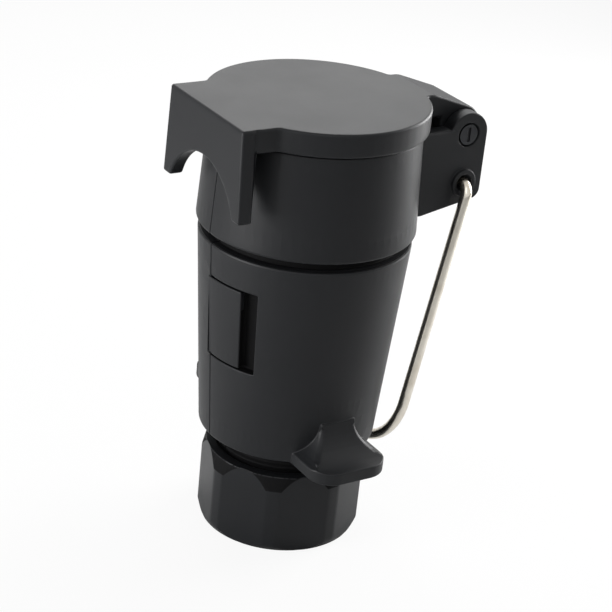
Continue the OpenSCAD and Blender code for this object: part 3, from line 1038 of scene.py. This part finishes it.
@dataclass
class InnerParts:
    """Frame nodes whose shape already serves, which only need their finish."""

    frame: dict
    finishes: Finishes

    def build(self) -> None:
        """Gives each inner node its finish."""
        fin = self.finishes
        dressed = {
            "lid_gasket": fin.rubber,
            "grommet": fin.rubber,
            "carrier_seal": fin.rubber,
            "wire_seal": fin.rubber,
            "contact_carrier": fin.insert_plastic,
            "contact_lock_plate": fin.insert_plastic,
            "seal_retainer": fin.insert_plastic,
            "thrust_washer": fin.insert_plastic,
            "carrier_screws": fin.wire,
            "hinge_clip": fin.dark_steel,
        }
        contacts = [
            name for name in self.frame["nodes"] if name.removeprefix("contact_").isdigit()
        ]
        dressed.update({name: fin.brass for name in contacts})
        for name, material in dressed.items():
            self.dress(self.frame["nodes"][name], material)

    def dress(self, node: bpy.types.Object, material: bpy.types.Material) -> None:
        """Sets one node's material.

        Args:
            node: The frame's node.
            material: Its finish.
        """
        node.data.materials.clear()
        node.data.materials.append(material)
        LOG.info("%s: %s", node.name, material.name)


# ---------------------------------------------------------------- studio


@dataclass
class Studio:
    """A pale table, soft lamps and the camera."""

    look_at_mm: tuple[float, float, float] = (0.0, -4.4, 69.7)
    distance_mm: float = 522.6
    azimuth_deg: float = -34.11
    elevation_deg: float = 25.13
    roll_deg: float = 6.0
    lens_mm: float = 108.5
    ambient: float = 0.22  # how strongly the surroundings light the object
    table_share: float = 0.9  # how much of the table is white where the camera sees it
    table_half_m: float = 3.0

    def build(self) -> None:
        """Sets up the camera, the lamps, the surroundings and the floor."""
        self.camera()
        self.lamp("key", (-260, -420, 520), 420, 0.6)
        self.lamp("left", (-520, 40, 90), 300, 3.3)
        self.lamp("right", (480, 60, 180), 300, 3.3)
        self.lamp("top_back", (180, 380, 440), 420, 1.4)
        self.surroundings()
        self.floor()
        bpy.context.scene.view_settings.view_transform = "Standard"

    def camera(self) -> None:
        """Places the camera on its arm round the point that it looks at."""
        turn = math.radians(self.azimuth_deg)
        rise = math.radians(self.elevation_deg)
        roll = math.radians(self.roll_deg)
        back = Vector(
            (math.sin(turn) * math.cos(rise), -math.cos(turn) * math.cos(rise), math.sin(rise))
        )
        right = Vector((math.cos(turn), math.sin(turn), 0))
        up = back.cross(right)
        across = right * math.cos(roll) + up * math.sin(roll)
        above = up * math.cos(roll) - right * math.sin(roll)
        place = (Vector(self.look_at_mm) + back * self.distance_mm) * MM
        data = bpy.data.cameras.new("camera")
        data.lens = self.lens_mm
        data.sensor_width = 36.0
        data.clip_start = 0.01
        data.clip_end = 20.0
        camera = bpy.data.objects.new("camera", data)
        axes = Matrix((across, above, back)).transposed().to_4x4()
        camera.matrix_world = Matrix.Translation(place) @ axes
        bpy.context.scene.collection.objects.link(camera)
        bpy.context.scene.camera = camera

    def lamp(
        self, name: str, place_mm: tuple[float, float, float], size_mm: float, watts: float
    ) -> None:
        """Adds one soft square lamp that points at the socket.

        Args:
            name: The lamp's name.
            place_mm: Where it hangs.
            size_mm: Its side.
            watts: Its power.
        """
        data = bpy.data.lights.new(name, "AREA")
        data.shape = "SQUARE"
        data.size = size_mm * MM
        data.energy = watts
        lamp = bpy.data.objects.new(name, data)
        place = Vector(place_mm)
        aim = place - Vector(self.look_at_mm)
        axes = aim.to_track_quat("Z", "Y").to_matrix().to_4x4()
        lamp.matrix_world = Matrix.Translation(place * MM) @ axes
        bpy.context.scene.collection.objects.link(lamp)

    def surroundings(self) -> None:
        """Makes the world: soft light on the object, and white wherever it is seen or mirrored."""
        world = bpy.data.worlds.new("studio")
        bpy.context.scene.world = world
        world.use_nodes = True
        tree = world.node_tree
        tree.nodes.clear()
        ray = add_node(tree, "ShaderNodeLightPath")
        seen = add_node(tree, "ShaderNodeMath", {"operation": "MAXIMUM"})
        tree.links.new(ray.outputs["Is Camera Ray"], seen.inputs[0])
        tree.links.new(ray.outputs["Is Transmission Ray"], seen.inputs[1])
        mirrored = add_node(tree, "ShaderNodeMath", {"operation": "MAXIMUM"})
        tree.links.new(seen.outputs[0], mirrored.inputs[0])
        tree.links.new(ray.outputs["Is Glossy Ray"], mirrored.inputs[1])
        strength = add_range(tree, mirrored.outputs[0], (0.0, 1.0), (self.ambient, 1.0))
        background = add_node(
            tree,
            "ShaderNodeBackground",
            {"Color": (1.0, 1.0, 1.0, 1.0)},
            {"Strength": strength},
        )
        add_node(tree, "ShaderNodeOutputWorld", links={"Surface": background.outputs["Background"]})

    def floor(self) -> None:
        """Makes the pale table that the socket stands on."""
        half = self.table_half_m
        mesh = bmesh.new()
        corners = ((-half, -half), (half, -half), (half, half), (-half, half))
        mesh.faces.new([mesh.verts.new((x, y, 0)) for x, y in corners])
        material, tree, _ = new_surface("white_table_paint")
        ray = add_node(tree, "ShaderNodeLightPath")
        matt = add_node(tree, "ShaderNodeBsdfDiffuse", {"Color": (0.9, 0.9, 0.9, 1.0)})
        bright = add_node(tree, "ShaderNodeEmission", {"Color": (1.0, 1.0, 1.0, 1.0), "Strength": 1.0})
        share = add_node(tree, "ShaderNodeMath", {"operation": "MULTIPLY"})
        tree.links.new(ray.outputs["Is Camera Ray"], share.inputs[0])
        share.inputs[1].default_value = self.table_share
        mix = add_node(tree, "ShaderNodeMixShader")
        tree.links.new(share.outputs[0], mix.inputs[0])
        tree.links.new(matt.outputs[0], mix.inputs[1])
        tree.links.new(bright.outputs[0], mix.inputs[2])
        add_node(tree, "ShaderNodeOutputMaterial", links={"Surface": mix.outputs[0]})
        floor = new_piece("floor", mesh, material)


def main() -> None:
    """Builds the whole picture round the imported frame."""
    logging.basicConfig(level=logging.INFO, format="%(name)s: %(message)s")
    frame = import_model()
    Studio().build()
    finishes = Finishes()
    Shell(frame, finishes).build()
    LidSpring(frame, finishes).build()
    HookLid(frame, finishes).build()
    Bail(frame, finishes).build()
    Gland(frame, finishes).build()
    InnerParts(frame, finishes).build()


if __name__ == "__main__":
    main()
